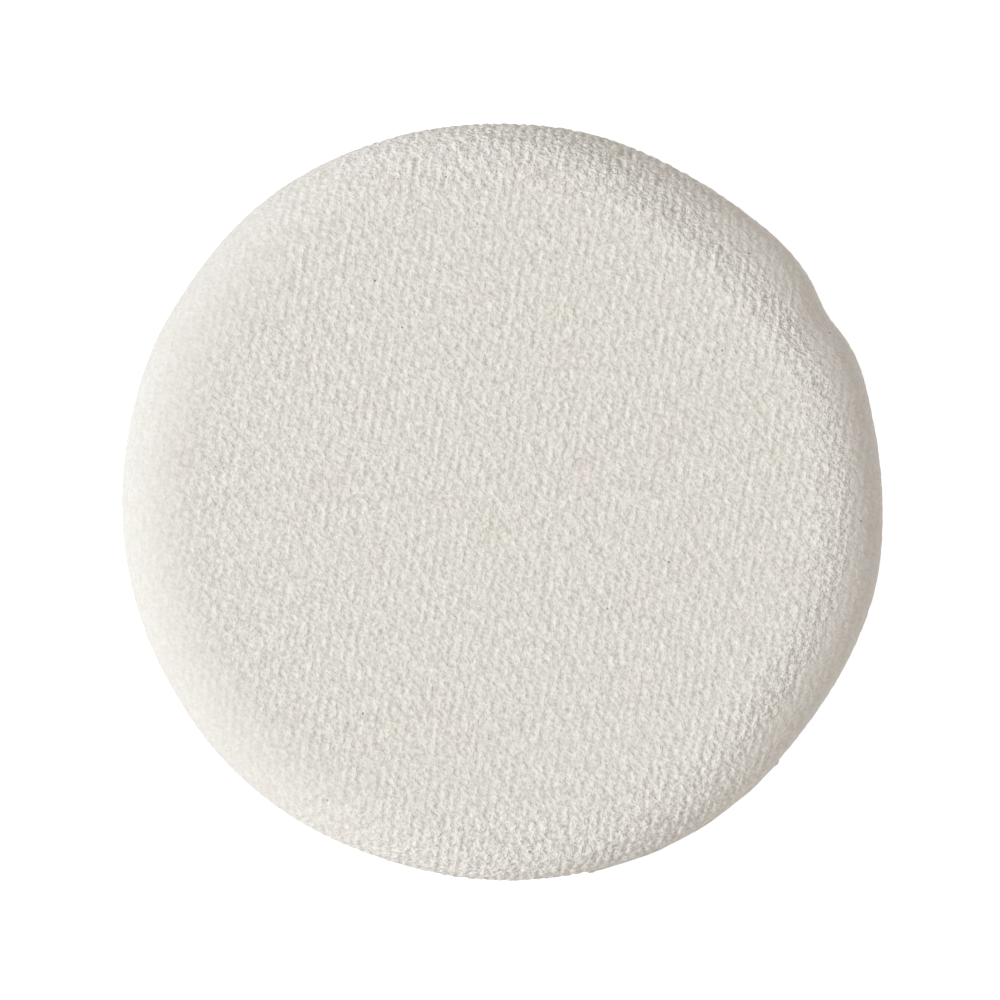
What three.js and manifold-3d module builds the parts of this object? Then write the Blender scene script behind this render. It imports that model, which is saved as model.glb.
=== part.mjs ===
// Round sewn powder puff: two velour cloths over a sponge disc, with a satin finger ribbon caught in the
// rim seam. Millimetres, +Z up. The puff lies on its back, its powdering face up and its ribbon along X.

import * as THREE from 'three';
import { mergeVertices } from 'three/addons/utils/BufferGeometryUtils.js';
import Module from 'manifold-3d';

const wasm = await Module();
wasm.setup();

// Whole puff
const rimRadius = 32.5;
const puffThickness = 11;
const faceCrown = 0.1;
const restDepth = 0.5; // the back is pressed flat by this much where the puff lies on it
const rollWidth = 6.2; // the cloth bends down from the face to the rim over this width
const rollFullness = 2; // exponent of the bend: 2 is an ellipse, more is fuller
const rimLump = 0.3; // unevenness of the sewn outline

// Velour cloth: a woven ground that carries a cut pile
const groundThickness = 0.4;
const pileHeight = 1;
const seamAllowance = 3; // turned in past the line of stitches

// Satin ribbon across the back
const ribbonWidth = 10;
const ribbonThickness = 0.3;
const ribbonTail = 2.7; // sewn in past the line of stitches

// Sewing thread: a lockstitch all round, and hand stitches where the puff was turned and filled
const threadDiameter = 0.3;
const stitchLength = 3;
const closingStitchLength = 2.5;
const closingLength = 20;
const closingDepth = 0.1; // thread centre below the rim
const closingAngle = THREE.MathUtils.degToRad(-90);

// Clearance between pieces that touch, and how far a cut runs past what it cuts
const fitGap = 0.3;
const cutOverrun = 1;

// Outline of the sewn rim: angle from +X and spread in degrees, and bulge as a share of rimLump.
// The ribbon's ends pinch the seam at 0 and 180 degrees.
const rimLumpShares = [
  [0, 2.8, -1.35],
  [-9, 4.2, 0.8],
  [11, 4, 0.6],
  [31, 10, -1.05],
  [60, 8, -0.45],
  [97, 11, 1],
  [126, 5, 0.45],
  [180, 4, -0.3],
  [222, 10, -0.85],
  [268, 8, 0.5],
  [293, 6, -0.45],
  [317, 8, 1],
];

// Faceting
const clothSegments = 64;
const foamSegments = 48;
const plateauShares = [0, 0.5];
const rollSteps = 5;
const foldSteps = 2;
const threadSides = 5;
const stepsPerStitch = 3;
const stepsPerClosingStitch = 6;

// The seam lies half way up. Each cloth folds in there round the ribbon's pocket, its pile crushed.
const seamHeight = puffThickness / 2;
const clothThickness = groundThickness + pileHeight;
const pocketDepth = ribbonThickness + fitGap;
const foldRadius = pocketDepth + fitGap;
const foldHeight = fitGap / 2 + foldRadius;
const flangeHeight = fitGap / 2 + pocketDepth + groundThickness;
const flatRadius = rimRadius - rollWidth;

// The two sides of the puff, as heights from the seam. The back would bulge past the table it rests on.
const face = { height: puffThickness - seamHeight, crown: faceCrown, rest: Infinity };
const back = { height: seamHeight + restDepth, crown: 0, rest: seamHeight };

// One side's pile surface from the axis to its fold, sunk by a depth, as radius and height from the seam.
function skin(side, depth, finer = 1) {
  const rise = side.height - side.crown - foldHeight;
  const restAngle = Math.acos(Math.min(1, (side.rest - foldHeight) / rise));
  const dome = (radius) => side.crown * (1 - (radius / rimRadius) ** 2);
  const points = plateauShares.map(
    (share) => new THREE.Vector2(flatRadius * share, foldHeight + rise + dome(flatRadius * share) - depth),
  );
  for (let step = 0; step <= rollSteps * finer; step++) {
    const angle = THREE.MathUtils.lerp(restAngle, Math.PI / 2, step / (rollSteps * finer));
    const across = Math.sin(angle) ** (2 / rollFullness);
    const radius = flatRadius + rollWidth * across;
    const outward = new THREE.Vector2(
      (rollFullness / rollWidth) * across ** (rollFullness - 1),
      (2 / rise) * Math.cos(angle),
    ).setLength(depth);
    points.push(new THREE.Vector2(radius, foldHeight + rise * Math.cos(angle) + dome(radius)).sub(outward));
  }
  for (let step = 1; step <= foldSteps * finer; step++) {
    const angle = (-Math.PI / 2) * (step / (foldSteps * finer));
    const outward = new THREE.Vector2(Math.cos(angle), Math.sin(angle)).multiplyScalar(foldRadius - depth);
    points.push(new THREE.Vector2(rimRadius - foldRadius, foldHeight).add(outward));
  }
  points.forEach((point) => (point.y = Math.min(point.y, side.rest - depth)));
  return points;
}

// Radius at which a surface of one side comes down to a height over the seam.
function radiusAt(points, height) {
  const last = points.findIndex((point) => point.y < height);
  const [above, below] = [points[last - 1], points[last]];
  return THREE.MathUtils.mapLinear(height, above.y, below.y, above.x, below.x);
}

// The stitches lie in the corner between the turned-in seam allowance and the cloth above it.
const stitchHeight = flangeHeight + fitGap + threadDiameter / 2;
const stitchCeiling = stitchHeight + threadDiameter / 2 + fitGap;
const stitchRadius =
  Math.min(...[face, back].map((side) => radiusAt(skin(side, clothThickness), stitchCeiling))) -
  threadDiameter / 2;
const flangeRadius = stitchRadius - seamAllowance;

// Share of the rim's unevenness that reaches a radius: none of it on the face, all of it at the rim.
function rimShare(radius) {
  return THREE.MathUtils.smoothstep(radius, flatRadius, rimRadius);
}

function rimBulge(angle) {
  const around = THREE.MathUtils.radToDeg(angle);
  return rimLumpShares.reduce((sum, [centre, spread, share]) => {
    const away = THREE.MathUtils.euclideanModulo(around - centre + 180, 360) - 180;
    return sum + rimLump * share * Math.exp(-((away / spread) ** 2) / 2);
  }, 0);
}

// Gives round geometry the outline of the sewn rim.
function followRim(geometry) {
  const position = geometry.attributes.position;
  for (let i = 0; i < position.count; i++) {
    const [x, y] = [position.getX(i), position.getY(i)];
    const radius = Math.hypot(x, y);
    if (radius === 0) continue;
    const stretch = 1 + (rimShare(radius) * rimBulge(Math.atan2(y, x))) / radius;
    position.setXY(i, x * stretch, y * stretch);
  }
  return geometry;
}

// Merges shared vertices, drops triangles that close up on the axis, and turns the faces outwards.
function closed(geometry) {
  geometry.deleteAttribute('normal');
  geometry.deleteAttribute('uv');
  const merged = mergeVertices(geometry);
  const corner = new THREE.Vector3();
  const corners = merged.index.array;
  const triangles = [];
  let volume = 0;
  for (let i = 0; i < corners.length; i += 3) {
    const [a, b, c] = corners.slice(i, i + 3);
    if (a === b || b === c || c === a) continue;
    triangles.push([a, b, c]);
    const [p, q, r] = [a, b, c].map((v) => corner.fromBufferAttribute(merged.attributes.position, v).clone());
    volume += p.dot(q.cross(r));
  }
  if (volume < 0) triangles.forEach((triangle) => triangle.reverse());
  merged.setIndex(triangles.flat());
  merged.computeVertexNormals();
  return merged;
}

function toManifold(geometry) {
  const vertProperties = new Float32Array(geometry.attributes.position.array);
  const triVerts = new Uint32Array(geometry.index.array);
  return new wasm.Manifold(new wasm.Mesh({ numProp: 3, vertProperties, triVerts }));
}

function fromManifold(solid) {
  const { vertProperties, triVerts } = solid.getMesh();
  const geometry = new THREE.BufferGeometry();
  geometry.setAttribute('position', new THREE.BufferAttribute(new Float32Array(vertProperties), 3));
  geometry.setIndex(new THREE.BufferAttribute(new Uint32Array(triVerts), 1));
  geometry.computeVertexNormals();
  return geometry;
}

// Turns a closed outline of radius and height about the vertical axis.
function revolved(outline, segments) {
  return closed(followRim(new THREE.LatheGeometry(outline, segments).rotateX(Math.PI / 2)));
}

// Extrudes an outline of X and height across the puff, centred on the X axis.
function acrossPuff(outline, width) {
  const plate = new THREE.ExtrudeGeometry(new THREE.Shape(outline), { depth: width, bevelEnabled: false });
  return closed(plate.rotateX(Math.PI / 2).translate(0, width / 2, 0));
}

// One cloth: pile surface, fold, turned-in seam allowance, and the inside that covers the sponge.
function clothGeometry(side, toward) {
  const insideRadius = rimRadius - clothThickness;
  const inside = skin(side, clothThickness).filter((point) => point.y > flangeHeight && point.x < insideRadius);
  const outline = [
    ...skin(side, 0),
    new THREE.Vector2(flangeRadius, fitGap / 2),
    new THREE.Vector2(flangeRadius, flangeHeight),
    new THREE.Vector2(insideRadius, flangeHeight),
    ...inside.reverse(),
  ];
  const profile = outline.map((point) => new THREE.Vector2(point.x, seamHeight + toward * point.y));
  return revolved(profile, clothSegments);
}

// Sponge disc, grooved round its edge for the seam allowances and their stitches.
function foamGeometry() {
  const lipRadius = stitchRadius - threadDiameter / 2 - fitGap;
  const grooveRadius = flangeRadius - fitGap;
  const grooveHeight = flangeHeight + fitGap;
  const half = (side) => {
    const surface = skin(side, clothThickness + fitGap);
    const next = surface.findIndex((point) => point.x > lipRadius);
    const [within, beyond] = [surface[next - 1], surface[next]];
    const lipHeight = THREE.MathUtils.mapLinear(lipRadius, within.x, beyond.x, within.y, beyond.y);
    return [
      ...surface.slice(0, next),
      new THREE.Vector2(lipRadius, lipHeight),
      new THREE.Vector2(lipRadius, grooveHeight),
      new THREE.Vector2(grooveRadius, grooveHeight),
    ];
  };
  const upper = half(face).map((point) => new THREE.Vector2(point.x, seamHeight + point.y));
  const lower = half(back).map((point) => new THREE.Vector2(point.x, seamHeight - point.y));
  return revolved([...upper, ...lower.reverse()], foamSegments);
}

// Half of the ribbon's run, sunk by a depth: along the flat back, up round the rim and into the seam.
// The flat ribbon draws the round rim in to its own chord.
function ribbonRun(depth, endRadius) {
  const tuck = rimRadius - Math.sqrt(rimRadius ** 2 - (ribbonWidth / 2) ** 2);
  const run = skin(back, depth, 2).slice(1);
  run.push(new THREE.Vector2(endRadius, fitGap / 2 + depth));
  return run.map((point) => new THREE.Vector2(point.x - tuck * rimShare(point.x), seamHeight - point.y));
}

function mirrored(points) {
  return points.map((point) => new THREE.Vector2(-point.x, point.y)).reverse();
}

function ribbonGeometry() {
  const endRadius = stitchRadius - ribbonTail;
  const outer = ribbonRun(0, endRadius);
  const inner = ribbonRun(ribbonThickness, endRadius);
  return acrossPuff([...mirrored(outer), ...outer, ...[...mirrored(inner), ...inner].reverse()], ribbonWidth);
}

// What the ribbon presses out of the back cloth's pile: its channel over the back and its two pockets.
function ribbonChannelGeometry() {
  const floor = ribbonRun(pocketDepth, flangeRadius - cutOverrun);
  const end = floor[floor.length - 1];
  const outside = [
    new THREE.Vector2(end.x, seamHeight),
    new THREE.Vector2(rimRadius + cutOverrun, seamHeight),
    new THREE.Vector2(rimRadius + cutOverrun, -cutOverrun),
  ];
  const half = [...floor, ...outside];
  return acrossPuff([...mirrored(half), ...half], ribbonWidth + 2 * fitGap);
}

// One thread of the lockstitch: a ring on the seam allowance that dips at each stitch.
function seamThreadGeometry(toward) {
  const stitches = Math.round((2 * Math.PI * stitchRadius) / stitchLength);
  const ring = new THREE.TorusGeometry(stitchRadius, threadDiameter / 2, threadSides, stitches * stepsPerStitch);
  const position = ring.attributes.position;
  const stitchDip = fitGap / 2;
  for (let i = 0; i < position.count; i++) {
    const around = Math.atan2(position.getY(i), position.getX(i));
    const dip = (stitchDip * (1 + Math.cos(stitches * around))) / 2;
    position.setZ(i, position.getZ(i) + seamHeight + toward * (stitchHeight - dip));
  }
  return closed(followRim(ring));
}

// Ladder stitch: one thread that runs along one fold of the seam, crosses to the other, and so on.
function closingThreadGeometry() {
  const reach = foldRadius + threadDiameter / 2 + fitGap / 2;
  const swing = foldHeight - Math.sqrt(reach ** 2 - (foldRadius - closingDepth) ** 2);
  const stitches = Math.round(closingLength / closingStitchLength);
  const threadRadius = rimRadius - closingDepth;
  const turn = closingStitchLength / threadRadius;
  const crossingShare = 0.2;
  const points = [];
  for (let stitch = 0; stitch < stitches; stitch++) {
    const height = seamHeight + (stitch % 2 === 0 ? swing : -swing);
    for (const share of [crossingShare, 1 - crossingShare]) {
      const angle = closingAngle + (stitch + share - stitches / 2) * turn;
      const radius = threadRadius + rimBulge(angle);
      points.push(new THREE.Vector3(radius * Math.cos(angle), radius * Math.sin(angle), height));
    }
  }
  const section = new THREE.Shape();
  section.absarc(0, 0, threadDiameter / 2, 0, 2 * Math.PI);
  return closed(
    new THREE.ExtrudeGeometry(section, {
      extrudePath: new THREE.CatmullRomCurve3(points),
      steps: stitches * stepsPerClosingStitch,
      curveSegments: threadSides,
      bevelEnabled: false,
    }),
  );
}

// Finishes, as the colours of the undyed puff
const velour = { color: 0xe4e1d8, roughness: 0.95, metalness: 0 };
const sponge = { color: 0xefe3c4, roughness: 0.9, metalness: 0 };
const satin = { color: 0xf1ece0, roughness: 0.4, metalness: 0 };
const polyester = { color: 0xf3f1ea, roughness: 0.6, metalness: 0 };

const puff = new THREE.Group();

function addPiece(name, geometry, finish) {
  const piece = new THREE.Mesh(geometry, new THREE.MeshStandardMaterial(finish));
  piece.name = name;
  puff.add(piece);
}

const channelledBack = toManifold(clothGeometry(back, -1)).subtract(toManifold(ribbonChannelGeometry()));

addPiece('face_cloth', clothGeometry(face, 1), velour);
addPiece('back_cloth', fromManifold(channelledBack), velour);
addPiece('foam_core', foamGeometry(), sponge);
addPiece('finger_ribbon', ribbonGeometry(), satin);
addPiece('needle_thread', seamThreadGeometry(1), polyester);
addPiece('bobbin_thread', seamThreadGeometry(-1), polyester);
addPiece('closing_thread', closingThreadGeometry(), polyester);

export default puff;
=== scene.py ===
import math

import bpy
import numpy as np
from mathutils import Matrix, Vector


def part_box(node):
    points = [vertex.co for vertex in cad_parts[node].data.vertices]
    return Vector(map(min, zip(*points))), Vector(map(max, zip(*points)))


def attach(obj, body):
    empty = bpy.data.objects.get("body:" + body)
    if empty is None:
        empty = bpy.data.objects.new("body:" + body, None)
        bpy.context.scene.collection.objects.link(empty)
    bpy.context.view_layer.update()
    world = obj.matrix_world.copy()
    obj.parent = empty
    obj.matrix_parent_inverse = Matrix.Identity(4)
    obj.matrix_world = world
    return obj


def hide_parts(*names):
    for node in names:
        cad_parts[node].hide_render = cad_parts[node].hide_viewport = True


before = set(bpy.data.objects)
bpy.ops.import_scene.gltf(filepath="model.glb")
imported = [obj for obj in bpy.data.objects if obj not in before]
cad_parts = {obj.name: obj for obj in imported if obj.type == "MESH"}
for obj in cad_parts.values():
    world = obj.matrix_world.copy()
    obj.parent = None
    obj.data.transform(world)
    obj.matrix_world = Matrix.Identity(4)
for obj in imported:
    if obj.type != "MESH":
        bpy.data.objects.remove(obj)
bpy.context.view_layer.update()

mm = 0.001

# The view. The puff lies on its back and is seen straight from above through a long lens. The camera is
# turned so that the end of the ribbon that pinches the seam lies at the upper right.
rim_radius = 32.5 * mm
photo_width = 1000  # pixels
photo_rim_radius = 380.55  # pixels
photo_centre = Vector((501.8, 501.5))  # pixels, from the top left corner
camera_height = 450 * mm
camera_turn = math.radians(-30)
seam_height = (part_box("face_cloth")[0].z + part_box("back_cloth")[1].z) / 2
pixel = rim_radius / photo_rim_radius
off_centre = (photo_centre - Vector((photo_width / 2, photo_width / 2))) * pixel
turn = Matrix.Rotation(camera_turn, 4, "Z")

camera = bpy.data.objects.new("camera", bpy.data.cameras.new("camera"))
camera.data.lens = camera.data.sensor_width * (camera_height - seam_height) / (photo_width * pixel)
camera.data.clip_start = camera_height / 100
camera.data.clip_end = camera_height * 100
camera.matrix_world = Matrix.Translation(turn @ Vector((-off_centre.x, off_centre.y, camera_height))) @ turn
bpy.context.scene.collection.objects.link(camera)
bpy.context.scene.camera = camera
bpy.context.scene.view_settings.view_transform = "Standard"


# The studio: a white table under an even sky, with one soft lamp half way up at the picture's left. The
# table is cut away under the puff, so that its back is lit too when it is looked at from below.
class Value:
    """A node's output in an expression: arithmetic on it adds Math nodes to the same tree."""

    def __init__(self, graph, socket):
        self.graph, self.socket = graph, socket

    def math(self, operation, *others):
        """A Math node on this value and the others."""
        numbers = dict(enumerate([self, *others]))
        return self.graph.add("ShaderNodeMath", {"operation": operation}, numbers)

    def __add__(self, other):
        return self.math("ADD", other)

    def __sub__(self, other):
        return self.math("SUBTRACT", other)

    def __rsub__(self, other):
        return self.math("MULTIPLY", -1.0).math("ADD", other)

    def __mul__(self, other):
        return self.math("MULTIPLY", other)

    def __truediv__(self, other):
        return self.math("DIVIDE", other)

    def __rtruediv__(self, other):
        return (self * (1 / other)) ** -1.0

    def __pow__(self, other):
        return self.math("POWER", other)

    __radd__ = __add__
    __rmul__ = __mul__


class Graph:
    """A node tree of a material, of the world, or of geometry."""

    def __init__(self, tree):
        self.tree = tree
        tree.nodes.clear()

    def add(self, kind, settings=None, inputs=None, output=0):
        """Adds a node: its settings first, then its sockets by name or number. Gives one of its outputs."""
        node = self.tree.nodes.new(kind)
        for name, value in (settings or {}).items():
            if name == "stops":
                for element, (position, color) in zip(self.stretch(node, len(value)), value):
                    element.position, element.color = position, color
            else:
                setattr(node, name, value)
        for name, value in (inputs or {}).items():
            if isinstance(value, Value):
                self.tree.links.new(value.socket, node.inputs[name])
            else:
                node.inputs[name].default_value = value
        return Value(self, node.outputs[output]) if len(node.outputs) else node

    def stretch(self, ramp, count):
        """A colour ramp's stops, as many as are wanted."""
        elements = ramp.color_ramp.elements
        while len(elements) < count:
            elements.new(0.5)
        return elements

    def blend(self, factor, first, second, how="MIX"):
        """Mixes two colours."""
        settings = {"data_type": "RGBA", "blend_type": how}
        return self.add("ShaderNodeMix", settings, {0: factor, 6: first, 7: second}, 2)

    def vector(self, operation, first, second=None):
        """Vector Math. A dot product or a length comes out as a number."""
        inputs = {0: first}
        if second is not None:
            inputs["Scale" if operation == "SCALE" else 1] = second
        output = 1 if operation in ("DOT_PRODUCT", "LENGTH") else 0
        return self.add("ShaderNodeVectorMath", {"operation": operation}, inputs, output)

    def noise(self, place, scale, detail=2.0, roughness=0.5):
        """Smooth noise from about 0 to 1, with features of 1 / scale."""
        inputs = {"Vector": place, "Scale": scale, "Detail": detail, "Roughness": roughness}
        return self.add("ShaderNodeTexNoise", {"noise_dimensions": "3D"}, inputs)


def new_material(name):
    material = bpy.data.materials.new(name)
    material.use_nodes = True
    return material, Graph(material.node_tree)


def new_object(name, mesh):
    piece = bpy.data.objects.new(name, mesh)
    bpy.context.scene.collection.objects.link(piece)
    return piece


sky_color = (1.0, 0.92, 0.86, 1)
sky_strength = 0.565
sky_slant = Vector((0.04, -0.2, 0))  # how much brighter it is toward the picture's right and bottom
sky_below = 0.8  # how much brighter it is under the table, where it lights the back alone
sky_below_color = (0.97, 0.98, 1.0, 1)
key_color = (0.885, 0.95, 0.99)
key_strength = 16.5
key_azimuth = math.radians(181)  # in the picture, from its right
key_elevation = math.radians(44)
key_distance = 1500 * mm
key_size = 450 * mm
table_radius = 1500 * mm
table_corners = 96
table_opening = 29.3 * mm
table_open_to_light = 32 * mm  # inside this only the camera sees it, so that the rim is lit from below too
table_white = (0.93, 0.93, 0.93, 1)
table_glow = (0.88, 0.97, 1.0, 1)
table_glow_strength = 0.61
table_bounce = 0.07  # what it sends onto the puff's rim beside the light that it scatters

world = bpy.data.worlds.new("studio")
bpy.context.scene.world = world
world.use_nodes = True
graph = Graph(world.node_tree)
skyward = graph.add("ShaderNodeTexCoord", None, None, "Generated")
slant = graph.vector("DOT_PRODUCT", skyward, turn @ sky_slant)
below = graph.add("ShaderNodeSeparateXYZ", None, {0: skyward}, 2).math("LESS_THAN", 0.0)
color = graph.blend(below, sky_color, sky_below_color)
inputs = {"Color": color, "Strength": (slant + 1 + below * sky_below) * sky_strength}
sky = graph.add("ShaderNodeBackground", None, inputs)
white = graph.add("ShaderNodeBackground", None, {"Color": (1, 1, 1, 1), "Strength": 1.0})
seen = graph.add("ShaderNodeLightPath", None, None, "Is Camera Ray")
both = graph.add("ShaderNodeMixShader", None, {0: seen, 1: sky, 2: white})
graph.add("ShaderNodeOutputWorld", None, {"Surface": both})

key = bpy.data.lights.new("key", "AREA")
key.shape = "DISK"
key.size = key_size
key.energy = key_strength
key.color = key_color
toward_key = turn @ Vector((
    math.cos(key_azimuth) * math.cos(key_elevation),
    math.sin(key_azimuth) * math.cos(key_elevation),
    math.sin(key_elevation),
))
key_lamp = new_object("key", key)
key_turn = toward_key.to_track_quat("Z", "Y").to_matrix().to_4x4()
key_lamp.matrix_world = Matrix.Translation(toward_key * key_distance) @ key_turn

around = np.linspace(0, math.tau, table_corners, endpoint=False)
circle = np.c_[np.cos(around), np.sin(around), 0 * around]
rings = [circle * radius for radius in (table_opening, table_radius)]
corners = np.arange(table_corners)
following = (corners + 1) % table_corners
faces = np.c_[corners, corners + table_corners, following + table_corners, following]
table_mesh = bpy.data.meshes.new("table")
table_mesh.from_pydata(np.vstack(rings).tolist(), [], faces.tolist())
table = new_object("table", table_mesh)
table_material, graph = new_material("white table")
lit = graph.add("ShaderNodeBsdfDiffuse", None, {"Color": table_white})
glow = graph.add("ShaderNodeEmission", None, {"Color": table_glow, "Strength": table_glow_strength})
shown = graph.add("ShaderNodeAddShader", None, {0: lit, 1: glow})
clear = graph.add("ShaderNodeBsdfTransparent")
camera_ray = graph.add("ShaderNodeLightPath", None, None, "Is Camera Ray")
underside = graph.add("ShaderNodeNewGeometry", None, None, "Backfacing")
place = graph.add("ShaderNodeNewGeometry", None, None, "Position")
near = graph.vector("LENGTH", place).math("LESS_THAN", table_open_to_light)
bounce = graph.add("ShaderNodeEmission", None, {"Color": sky_color, "Strength": table_bounce})
bounce = graph.add("ShaderNodeAddShader", None, {0: lit, 1: bounce})
unseen = graph.add("ShaderNodeMixShader", None, {0: near, 1: bounce, 2: clear})
surface = graph.add("ShaderNodeMixShader", None, {0: camera_ray, 1: unseen, 2: shown})
surface = graph.add("ShaderNodeMixShader", None, {0: underside, 1: surface, 2: clear})
graph.add("ShaderNodeOutputMaterial", None, {"Surface": surface})
table_mesh.materials.append(table_material)


# The face cloth: a disc of ribbed cotton velour, cut round, sewn to the back cloth inside out and turned,
# so that its pile is outside and its seam allowance is folded in at the rim. It is made as one closed
# shell: pile side, fold, seam allowance and inside. Its tufts stand in rows, each set on by part of a tuft.
puff_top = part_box("face_cloth")[1].z
face_crown = 0.1 * mm
roll_width = 6.2 * mm
roll_fullness = 2
roll_lump = 1.0 * mm  # how far the filling draws the roll's shoulder in or out
roll_lump_start = 7.5 * mm  # in from the rim, where its lumps start
roll_lump_full = 3 * mm  # in from the rim, where they stand in full
roll_lump_height = 2 * mm  # over the seam, where they stand in full
roll_lump_shares = [  # angle from +X and spread in degrees, and share
    (18, 15, 1.0),
    (66, 17, -1.4),
    (-113, 17, -1.4),
    (-58, 14, 0.6),
    (-28, 18, -0.35),
    (150, 50, -0.2),
]
stroked_side = math.radians(182) + camera_turn  # the picture's left, the lamp's side; the velour's colour is painted lighter and darker by it too
stroked_pile = 0.42  # how open the pile stands there on the roll, next to 1 on the flat
splayed_pile = 1.65  # and where the roll's own bend spreads it
shaded_pile = 1.6  # and opposite the stroked side
flattened_pile = 0.32  # share of that left at the very rim there
full_side = 0.85  # cosine of the angle from either side's middle within which its pile is changed in full
flattened_side = 0.3  # cosine of the angle from which the rim's pile starts to be flattened
opening_start = 8.5 * mm  # in from the rim, where the pile starts to open
opening_full = 2 * mm
flattening_start = 4 * mm  # in from the rim, where the pile starts to be flattened
flattening_full = 2.2 * mm
held_height = 0.15 * mm  # over the seam, up to which the seam holds the pile down
free_height = 0.5 * mm  # over the seam, from which the pile stands free
fold_radius = 0.9 * mm
fold_opening = 0.06 * mm
cloth_thickness = 1.4 * mm
seam_cloth_thickness = 1.0 * mm
seam_allowance_edge = 27.6 * mm
grain = 0.2 * mm  # edge length of the pile side's mesh
inside_grain = 0.8 * mm
flat_points = 60
roll_points = 200
fold_points = 40
rim_lump = 0.3 * mm  # unevenness of the sewn outline
rim_lump_shares = [  # angle from +X and spread in degrees, and share
    (0, 2.8, -1.35),
    (-9, 4.2, 0.8),
    (11, 4, 0.6),
    (31, 10, -1.05),
    (60, 8, -0.45),
    (97, 11, 1),
    (126, 5, 0.45),
    (180, 4, -0.3),
    (222, 10, -0.85),
    (268, 8, 0.5),
    (293, 6, -0.45),
    (317, 8, 1),
]


def smooth_step(low, high, value):
    share = np.clip((value - low) / (high - low), 0, 1)
    return share * share * (3 - 2 * share)


def lumps_round(around, size, shares):
    """The sum, at an angle from +X, of lumps that each have a middle, a spread and a share of the size."""
    total = 0 * around
    for centre, spread, share in shares:
        away = (np.degrees(around) - centre + 180) % 360 - 180
        total += size * share * np.exp(-0.5 * (away / spread) ** 2)
    return total


def rim_bulge(around):
    """How far the sewn outline stands out."""
    return lumps_round(around, rim_lump, rim_lump_shares)


def cloth_section(height, crown, rest, depth=0.0):
    """A cloth's pile side in section, sunk by a depth: radius and height from the seam, axis to fold."""
    flat_radius = rim_radius - roll_width
    fold_height = fold_opening / 2 + fold_radius
    rise = height - crown - fold_height
    rest_angle = math.acos(min(1.0, (rest - fold_height) / rise))
    flat = np.linspace(0, flat_radius, flat_points, endpoint=False)
    angle = np.linspace(rest_angle, math.pi / 2, roll_points)
    across = np.sin(angle) ** (2 / roll_fullness)
    radius = flat_radius + roll_width * across
    outward = np.c_[roll_fullness / roll_width * across ** (roll_fullness - 1), 2 / rise * np.cos(angle)]
    outward *= depth / np.linalg.norm(outward, axis=1)[:, None]
    fold = np.linspace(0, -math.pi / 2, fold_points)[1:]
    bend = max(fold_radius - depth, 0.0)
    points = np.vstack([
        np.c_[flat, np.full(len(flat), fold_height + rise - depth)],
        np.c_[radius, fold_height + rise * np.cos(angle)] - outward,
        np.c_[rim_radius - fold_radius + bend * np.cos(fold), fold_height + bend * np.sin(fold)],
    ])
    points[:, 1] += crown * np.clip(1 - (points[:, 0] / rim_radius) ** 2, 0, 1)
    points[:, 1] = np.minimum(points[:, 1], rest - depth)
    return points


def spaced(section, step):
    """The section again with points a step apart, and how far along it each one lies."""
    along = np.r_[0, np.cumsum(np.linalg.norm(np.diff(section, axis=0), axis=1))]
    at = np.linspace(0, along[-1], max(2, round(along[-1] / step) + 1))
    return np.c_[np.interp(at, along, section[:, 0]), np.interp(at, along, section[:, 1])], at


def roll_shift(radius, height, around):
    """How far the shoulder of the face's roll is drawn in. The flat, the rim and the seam stay in place."""
    share = np.clip((rim_radius - radius) / roll_lump_full, 0, 1)
    share *= smooth_step(rim_radius - roll_lump_start, rim_radius - roll_lump_full, radius)
    share *= smooth_step(0, roll_lump_height, height)
    return share * lumps_round(around, roll_lump, roll_lump_shares)


def pile_opening(radius, around, stroked):
    """How open the pile stands: 1 on the flat and more on the roll. On the stroked cloth it stands less open
    on the roll at the stroked side, and at the very rim opposite. The stroked side is the lamp's side, and
    the velour's colour follows the opening as painted light and shade."""
    opened = smooth_step(rim_radius - opening_start, rim_radius - opening_full, radius)
    if not stroked:
        return 1 + (shaded_pile - 1) * opened
    facing = np.cos(around - stroked_side)
    spread = splayed_pile + (shaded_pile - splayed_pile) * np.clip(-facing, 0, 1)
    spread += (stroked_pile - spread) * smooth_step(0, full_side, facing)
    flattened = smooth_step(rim_radius - flattening_start, rim_radius - flattening_full, radius)
    flattened *= smooth_step(flattened_side, full_side, -facing)
    return (1 + (spread - 1) * opened) * (1 - (1 - flattened_pile) * flattened)


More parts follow.
